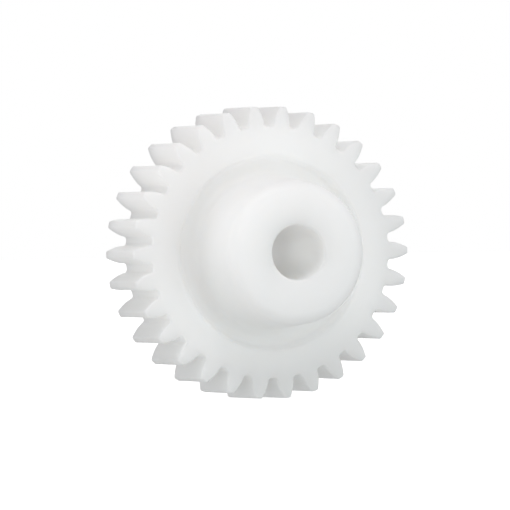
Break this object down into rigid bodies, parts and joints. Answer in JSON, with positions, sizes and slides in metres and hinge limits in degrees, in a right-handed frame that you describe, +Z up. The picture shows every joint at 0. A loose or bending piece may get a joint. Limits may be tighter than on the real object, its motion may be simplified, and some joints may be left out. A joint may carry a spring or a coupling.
{
  "type": "spur gear",
  "caption": "White moulded plastic spur gear with straight involute teeth, a one-sided hub and a plain round bore through it.",
  "frame": {"origin": "on the bore axis, halfway across the face width of the teeth", "axes": "Y along the bore axis with the hub pointing to -Y, +Z up, so that the gear stands upright on two teeth"},
  "size_m": [0.032, 0.0175, 0.0318],
  "materials": {
    "acetal": "natural white acetal (POM) as moulded: satin, faintly translucent"
  },
  "bodies": {
    "root": {"toothed_rim": "acetal", "web": "acetal", "hub": "acetal"}
  },
  "joints": []
}
